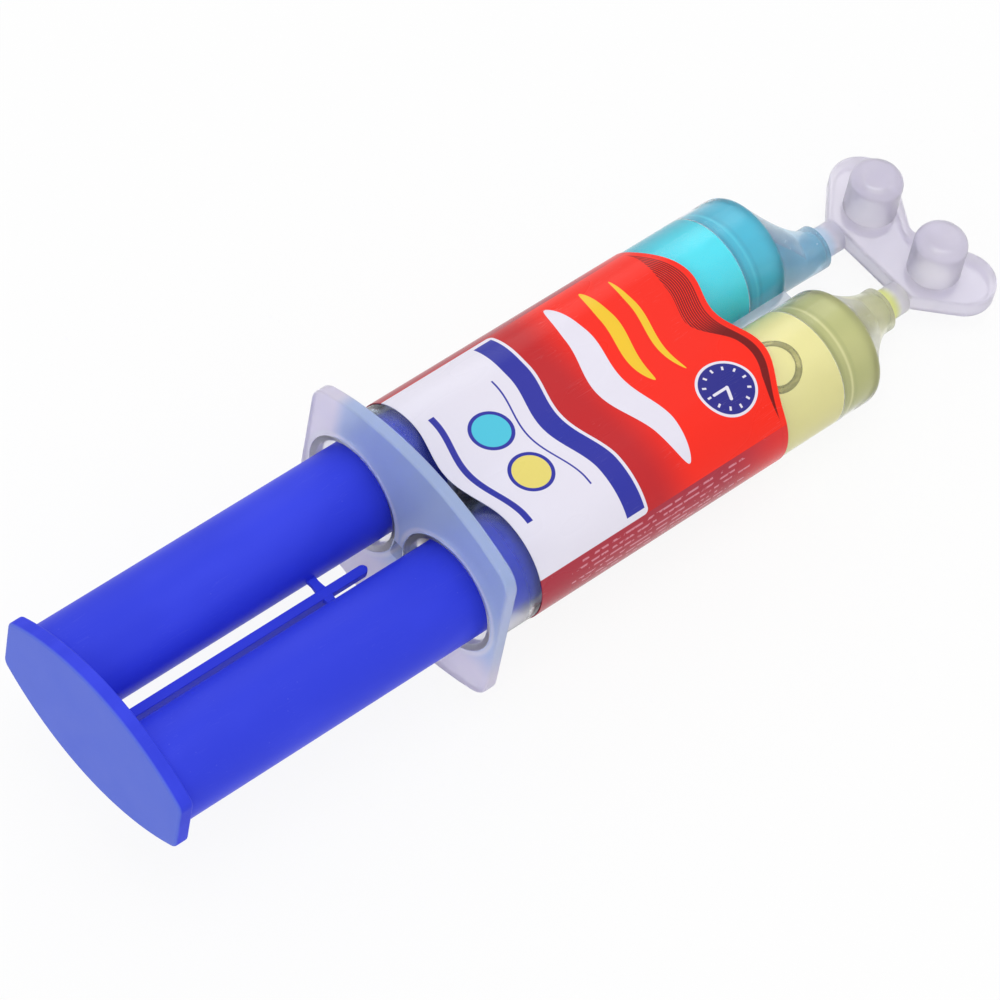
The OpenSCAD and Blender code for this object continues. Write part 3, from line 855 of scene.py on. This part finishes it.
def buildFlange():
    def holes(grow):
        wide, high = (flange[key] / 2 + grow * flange["slotEdge"] for key in ("slotWide", "slotHigh"))
        slot = roundedBox(wide, high, flange["slotCorner"], lift=flange["slotZ"])
        radius = layout["barrelRadius"] + layout["gap"]
        return [circle(side * layout["barrelY"], 0, radius) for side in sides.values()] + [slot]

    bm = slab(flange, layout["flangeX"], holes)
    return piece("fingerFlange", bm, flangePlastic, "barrel", ["finger_flange"])


barrel = {
    "mouth": 0.3, "mouthRound": 0.2, "frontRound": 2.0, "frontCut": 0.24, "rimRound": 0.12, "stepRound": 0.3,
}


def buildBarrel(name, side):
    rear, front, radius = layout["flangeX"], layout["frontX"], layout["barrelRadius"]
    frontRound = barrel["frontRound"]
    middleX, middleR = front + barrel["frontCut"] - frontRound, radius - frontRound
    last = acos((front - middleX) / frontRound)
    corners = [(rear, radius - barrel["rimRound"] * 2), (rear, radius, barrel["rimRound"])]
    corners += arcOf(middleX, middleR, frontRound, pi / 2, last, 10)
    corners += [
        (front, layout["outletRadius"]),
        (layout["stopX"], layout["outletRadius"], barrel["stepRound"]),
        (layout["stopX"], layout["boreRadius"], barrel["stepRound"]),
        (rear + barrel["mouth"], layout["boreRadius"], barrel["mouthRound"]),
    ]
    bm = turned(softened(corners), (side * layout["barrelY"], 0))
    return piece(name + "Barrel", bm, barrelPlastic, "barrel", [name + "_barrel"])


def buildNozzle(name, side):
    values = {**nozzleShape, "Side": float(side), "Material": nozzlePlastics[name]}
    values["Base X"] = (layout["frontX"] + layout["gap"]) * mm
    return grown(name + "Nozzle", slopedNozzle, values, "barrel", [name + "_nozzle"])


buildFlange()
for name, side in sides.items():
    buildBarrel(name, side)
    buildNozzle(name, side)
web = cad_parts["barrel_web"]
web.data.materials.clear()
web.data.materials.append(webPlastic)
filmValues = {**labelShape, "Material": labelFilmPrint}
grown("labelFilm", wrappedLabel, filmValues, "barrel", ["label"])
print("barrel moulding and label built")

liquid = {
    "rear": 68.8, "front": layout["stopX"], "radius": 8.12, "endRound": 0.45, "slack": 0.02,
    "stroke": 50.6,  # how far the plunger goes in
    "grow": 0.02, "tipSlack": 0.05,  # of the liquid in a nozzle
}


# gives the piece its own copy of its mesh
def shortens(thing):
    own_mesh(thing)


# the column that the piston pushes
def buildColumn(name, side, material):
    rear, front, radius = liquid["rear"] + liquid["slack"], liquid["front"], liquid["radius"]
    profile = [(rear, 0), (rear, radius), (front, radius, liquid["endRound"]), (front, 0)]
    bm = turned(softened(profile, closed=False), (side * layout["barrelY"], 0))
    shortens(piece(name + "Column", bm, material, "barrel", [name]))


# the liquid left in the narrower chamber and the nozzle
def buildSlug(name, side, material):
    bore, outlet = layout["nozzleBore"] + liquid["grow"], layout["outletRadius"] + liquid["grow"]
    rear, front = layout["stopX"] + liquid["slack"], layout["nozzleX"] - liquid["tipSlack"]
    path = [(rear, 0, 0), (rear, outlet, 0)]
    for k in range(7):
        x = layout["frontX"] + layout["funnelLength"] * k / 6
        path.append((x, outlet + (bore - outlet) * k / 6, k / 6))
    path += [(front, bore, 1), (front, 0, 1)]
    bm = bmesh.new()
    rows = []
    for x, radius, shift in path:
        y = side * (layout["barrelY"] + (layout["nozzleY"] - layout["barrelY"]) * shift)
        z = layout["nozzleZ"] * shift
        loop = circle(y, z, radius, 72) if radius > 0 else [(y, z)]
        rows.append(ring(bm, [(x, a, b) for a, b in loop]))
    bridge(bm, *rows)
    piece(name + "Slug", bm, material, "barrel", [name + "_in_nozzle"])


bubble = {"x": 111.0, "turn": 98.0, "radius": 3.7, "rim": 0.55, "depth": 0.05, "onRadius": 8.16}


# rim of the flat air bubble that lies against the wall of the hardener barrel
def buildBubble():
    bm = bmesh.new()
    rows = []
    for along in (2 * pi * k / 48 for k in range(48)):
        loop = []
        for across in (2 * pi * k / 10 for k in range(10)):
            reach = bubble["radius"] + bubble["rim"] * cos(across)
            radius = bubble["onRadius"] + bubble["depth"] * sin(across)
            angle = radians(bubble["turn"]) + reach * sin(along) / bubble["onRadius"]
            y = radius * cos(angle) - layout["barrelY"]
            loop.append((bubble["x"] + reach * cos(along), y, radius * sin(angle)))
        rows.append(ring(bm, loop))
    bridge(bm, *rows, rows[0])
    shortens(piece("airBubble", bm, bubbleRim, "barrel"))


buildColumn("resin", 1, resinPaste)
buildColumn("hardener", -1, hardenerPaste)
buildSlug("resin", 1, resinDeep)
buildSlug("hardener", -1, hardenerDeep)
buildBubble()
print("liquids built")

thumb = {"width": 36.6, "height": 19.8, "endHeight": 9.0, "corner": 1.6, "thickness": 2.3, "edge": 0.4}
rod = {
    "radius": 7.25, "bore": 5.75, "front": 64.2, "floor": 1.5, "floorRound": 0.4, "rimRound": 0.15,
    "sunk": 0.05,  # how far rods and stirrer reach into the thumb plate
}
piston = {
    "length": 4.6, "radius": 8.05, "lip": 1.2, "groove": 0.7, "lipRound": 0.3, "waistRound": 0.2,
    "spigot": 4.0, "spigotRadius": 5.7, "spigotRound": 0.5,
}
stick = {
    "wide": 0.75, "high": 1.15, "top": -0.9, "handleEnd": 41.0, "paddle": 0.6, "tip": 47.7, "edge": 0.16,
    "tabX": 40.25, "tabWide": 0.75, "tabHigh": 0.4, "tabEdge": 0.12,
    "tabRows": ((0.7, 1.1), (1.0, 1.0), (1.9, 0.88), (2.5, 0.92), (2.93, 1.0)),  # y and swell
}


def buildThumbPlate():
    return piece("thumbPlate", slab(thumb, 0.0), thumbPlastic, "plunger", ["thumb_plate"])


def buildRod(name, side):
    rear, floorX = thumb["thickness"] - rod["sunk"], thumb["thickness"] + rod["floor"]
    profile = softened([
        (rear, 0), (rear, rod["radius"]), (rod["front"], rod["radius"], rod["rimRound"]),
        (rod["front"], rod["bore"], rod["rimRound"]), (floorX, rod["bore"], rod["floorRound"]), (floorX, 0),
    ], closed=False)
    bm = turned(profile, (side * layout["barrelY"], 0))
    return piece(name + "Rod", bm, plungerPlastic, "plunger", [name + "_rod"])


def buildPiston(name, side):
    rear, front = rod["front"], rod["front"] + piston["length"] - liquid["slack"]
    radius, lip, lipRound, waistRound = (piston[key] for key in ("radius", "lip", "lipRound", "waistRound"))
    spigotX, spigotRadius, waist = rear - piston["spigot"], piston["spigotRadius"], radius - piston["groove"]
    profile = softened([
        (spigotX, 0), (spigotX, spigotRadius, piston["spigotRound"]), (rear, spigotRadius, 0.1),
        (rear, radius, lipRound), (rear + lip, radius, lipRound), (rear + lip, waist, waistRound),
        (front - lip, waist, waistRound), (front - lip, radius, lipRound), (front, radius, lipRound),
        (front, 0),
    ], closed=False)
    bm = turned(profile, (side * layout["barrelY"], 0))
    return piece(name + "Piston", bm, pistonPlastic, "plunger", [name + "_piston"])


# stirrer: a deep handle, then a thin paddle with a round tip
def buildStick():
    wide, high, flat, end = stick["wide"], stick["high"], stick["paddle"], stick["handleEnd"]
    sections = [(thumb["thickness"] - rod["sunk"], wide, high), (end - 0.25, wide, high)]
    sections += [(end, wide, high - 0.08), (end + 0.12, wide, flat + 0.1), (end + 0.3, wide, flat)]
    for k in range(9):
        turn = pi / 2 * k / 8.4
        x = stick["tip"] - wide + wide * sin(turn)
        sections.append((x, wide * cos(turn), flat - 0.22 * (1 - cos(turn))))
    bm = bmesh.new()
    rows = []
    for x, w, h in sections:  # h is half the height, and the top is level
        outline = roundedBox(w, h, min(stick["edge"], w * 0.8), 22.5)
        rows.append(ring(bm, [(x, a, stick["top"] - h + b) for a, b in outline]))
    tube(bm, rows)
    piece("stirrerStick", bm, plungerPlastic, "plunger", ["stirrer"])


# the two snap tabs between the stirrer and the rods
def buildTabs():
    bm = bmesh.new()
    for side in sides.values():
        rows = []
        for y, swell in stick["tabRows"]:
            outline = roundedBox(stick["tabWide"] * swell, stick["tabHigh"] * swell, stick["tabEdge"])
            middle = stick["top"] - stick["tabHigh"] * swell
            rows.append(ring(bm, [(stick["tabX"] + a, side * y, middle + b) for a, b in outline]))
        tube(bm, rows)
    made = piece("stirrerTabs", bm, plungerPlastic, "plunger", ["stirrer_tabs"])
    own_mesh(made)


buildThumbPlate()
for name, side in sides.items():
    buildRod(name, side)
    buildPiston(name, side)
buildStick()
buildTabs()
print("plunger built")

closure = {
    "lobeSet": 8.9, "lobeY": 10.6, "lobeRadius": 5.05, "rearHalf": 8.8, "frontAngle": 30, "cornerAngle": 45,
    "low": -4.975, "top": -2.275, "wall": 1.0, "edge": 0.45, "rim": 0.12,
    "waistRound": 2.2, "cornerRound": 0.8,
    "capSet": 6.6, "capRadius": 3.95, "capTop": 5.025, "capRound": 1.9, "capBore": 3.45,
    "capRecess": 2.05, "capFloor": 4.125, "capRim": 0.12, "recessRound": 0.4, "ceilingRound": 0.15,
    "neckRadius": 2.4, "snapRadius": 2.1, "snapLength": 0.5, "snapRound": 0.1, "neckSunk": 0.04,
}


def closureOutline(inset):
    radius, lobeX, lobeY = closure["lobeRadius"] - inset, closure["lobeSet"], closure["lobeY"]
    front, corner = radians(closure["frontAngle"]), radians(closure["cornerAngle"])
    waist = lobeX + (radius - lobeY * sin(front)) / cos(front)
    lobe = arcOf(lobeX, lobeY, radius, -front, pi / 2 + corner, 20)
    rearY = closure["rearHalf"] - inset * tan(corner / 2)
    rearRound = max(closure["cornerRound"] - inset, 0.15)
    points = [(waist, 0, closure["waistRound"] + inset)] + lobe + [(inset, rearY, rearRound)]
    points += [(inset, -rearY, rearRound)] + [(a, -b) for a, b in reversed(lobe)]
    return [(layout["plateX"] + a, b) for a, b in softened(points, steps=6)]


# plate with a skirt, open below, and holes that the reseal caps stand in
def buildClosurePlate():
    bm = bmesh.new()
    low, top, wall, edge, rim = (closure[key] for key in ("low", "top", "wall", "edge", "rim"))
    ceiling = top - wall
    levels = [(rim, low), (0.0, low + rim)]
    for turn in (pi / 2 * k / 5 for k in range(6)):
        levels.append((edge * (1 - cos(turn)), top - edge * (1 - sin(turn))))
    innerLevels = [(wall - rim, low), (wall, low + rim), (wall, ceiling)]
    outside, inside = (
        [ring(bm, [(a, b, z) for a, b in closureOutline(inset)]) for inset, z in wallLevels]
        for wallLevels in (levels, innerLevels)
    )
    bridge(bm, *outside)
    bridge(bm, *inside)
    bridge(bm, outside[0], inside[0])
    capX, radius = layout["plateX"] + closure["capSet"], closure["capRadius"] + layout["gap"]
    holes = []
    for side in sides.values():
        loop = circle(capX, side * layout["nozzleY"], radius, 72)
        holes.append([ring(bm, [(a, b, z) for a, b in loop]) for z in (top, ceiling)])
        bridge(bm, *holes[-1])
    cover(bm, [outside[-1], holes[0][0], holes[1][0]])
    cover(bm, [inside[-1], holes[0][1], holes[1][1]])
    piece("closurePlate", bm, closurePlastic, "closure", ["closure_plate"])


def buildCap(name, side):
    top, low, radius, capRim = closure["capTop"], closure["low"], closure["capRadius"], closure["capRim"]
    bore, ceiling, ceilingRound = closure["capBore"], top - closure["capRound"], closure["ceilingRound"]
    recess, capFloor = closure["capRecess"], closure["capFloor"]
    profile = softened([
        (top, 0), (top, radius, closure["capRound"] * 0.98), (low, radius, capRim), (low, bore, capRim),
        (ceiling, bore, ceilingRound), (ceiling, recess, ceilingRound),
        (capFloor, recess, closure["recessRound"]), (capFloor, 0),
    ], closed=False, step=9)
    bm = turned(profile, (layout["plateX"] + closure["capSet"], side * layout["nozzleY"]), "z", 72)
    piece(name + "Cap", bm, closurePlastic, "closure", [name + "_cap"])


# a weak ring at the nozzle's tip, then the neck that holds the plate
def buildNeck(name, side):
    snap, snapRound, neck = closure["snapRadius"], closure["snapRound"], closure["neckRadius"]
    tip, snapEnd = layout["nozzleX"] + layout["gap"], layout["nozzleX"] + closure["snapLength"]
    neckEnd = layout["plateX"] + closure["neckSunk"]
    profile = softened([
        (tip, 0), (tip, snap, snapRound), (snapEnd - 0.1, snap, snapRound),
        (snapEnd + 0.15, neck, 0.2), (neckEnd, neck), (neckEnd, 0),
    ], closed=False)
    bm = turned(profile, (side * layout["nozzleY"], layout["nozzleZ"]), "x", 64)
    piece(name + "Neck", bm, neckPlastics[name], "closure", [name + "_neck"])


buildClosurePlate()
for name, side in sides.items():
    buildCap(name, side)
    buildNeck(name, side)
print("closure built")

floor = {  # foot: x and z of the flange's lower edge, which the floor passes just below
    "foot": (55.3, -18.0), "below": 0.06, "slope": 0.098, "half": 2.5, "colour": 0.93, "whiteShare": 0.9,
}
lamps = {  # places and sizes in metres
    "overhead": {"at": (0.02, -0.10, 0.95), "aim": (0.08, 0, 0), "size": (0.75, 0.55), "watts": 2.3},
    "behind": {"at": (0.55, 0.62, 0.50), "aim": (0.09, 0, 0), "size": (0.35, 0.5), "watts": 0.8},
    "left": {"at": (-0.55, -0.25, 0.38), "aim": (0.05, 0, 0), "size": (0.3, 0.5), "watts": 0.6},
}
surroundings = 0.7  # strength of the light from all round
camera = {
    "place": (-296.16, -301.63, 639.34), "lens": 208.9, "sensor": 36.0,
    "right": (0.75251, -0.646, 0.12807), "down": (-0.47144, -0.66419, -0.58017),
}


# 1 for rays that show the background: from the camera, off gloss, or through clear walls
def seenDirectly(tree):
    path = named(tree.nodes.new("ShaderNodeLightPath").outputs)
    seen = calc("MAXIMUM", path["Is Camera Ray"], path["Is Glossy Ray"])
    return calc("MAXIMUM", seen, path["Is Transmission Ray"])


def buildFloor():
    footX, footZ = floor["foot"][0] * mm, (floor["foot"][1] - floor["below"]) * mm
    places = [(a * floor["half"], b * floor["half"]) for a, b in ((-1, -1), (1, -1), (1, 1), (-1, 1))]
    mesh = bpy.data.meshes.new("floor")
    mesh.from_pydata([(x, y, footZ + (x - footX) * floor["slope"]) for x, y in places], [], [(0, 1, 2, 3)])
    plane = placed("floor", mesh)
    material, tree, shader = newMaterial("floorWhite", ())
    feed(shader.inputs["Roughness"], 0.9)
    feed(shader.inputs["Specular IOR Level"], 0.1)
    feed(shader.inputs["Base Color"], (floor["colour"],) * 3)
    glow = valueOf(tree, "ShaderNodeEmission", {"Color": (1, 1, 1)})
    share = seenDirectly(tree) * floor["whiteShare"]
    blend = valueOf(tree, "ShaderNodeMixShader", {0: share, 1: NodeValue(shader.outputs[0]), 2: glow})
    feed(tree.nodes["Material Output"].inputs["Surface"], blend)
    mesh.materials.append(material)


def buildLight():
    for name, lamp in lamps.items():
        data = bpy.data.lights.new(name, "AREA")
        data.shape = "RECTANGLE"
        data.size, data.size_y = lamp["size"]
        data.energy = lamp["watts"]
        thing = placed(name, data)
        thing.location = lamp["at"]
        thing.rotation_euler = (Vector(lamp["aim"]) - Vector(lamp["at"])).to_track_quat("-Z", "Y").to_euler()
    world = bpy.data.worlds.new("surroundings")
    bpy.context.scene.world = world
    world.use_nodes = True
    sky = world.node_tree.nodes["Background"]
    feed(sky.inputs["Color"], (1, 1, 1))
    feed(sky.inputs["Strength"], ramp(seenDirectly(world.node_tree), 0.0, 1.0, surroundings, 1.0))


def buildCamera():
    data = bpy.data.cameras.new("photoView")
    data.lens, data.sensor_width = camera["lens"], camera["sensor"]
    data.clip_start, data.clip_end = 0.01, 10
    thing = placed("photoView", data)
    right = Vector(camera["right"]).normalized()
    up = -Vector(camera["down"])
    up = (up - right * up.dot(right)).normalized()
    turn = Matrix((right, up, right.cross(up))).transposed()
    thing.matrix_world = Matrix.Translation(Vector(camera["place"]) * mm) @ turn.to_4x4()
    bpy.context.scene.camera = thing


buildFloor()
buildLight()
buildCamera()
bpy.context.scene.view_settings.view_transform = "Standard"
print("floor, light and camera set")
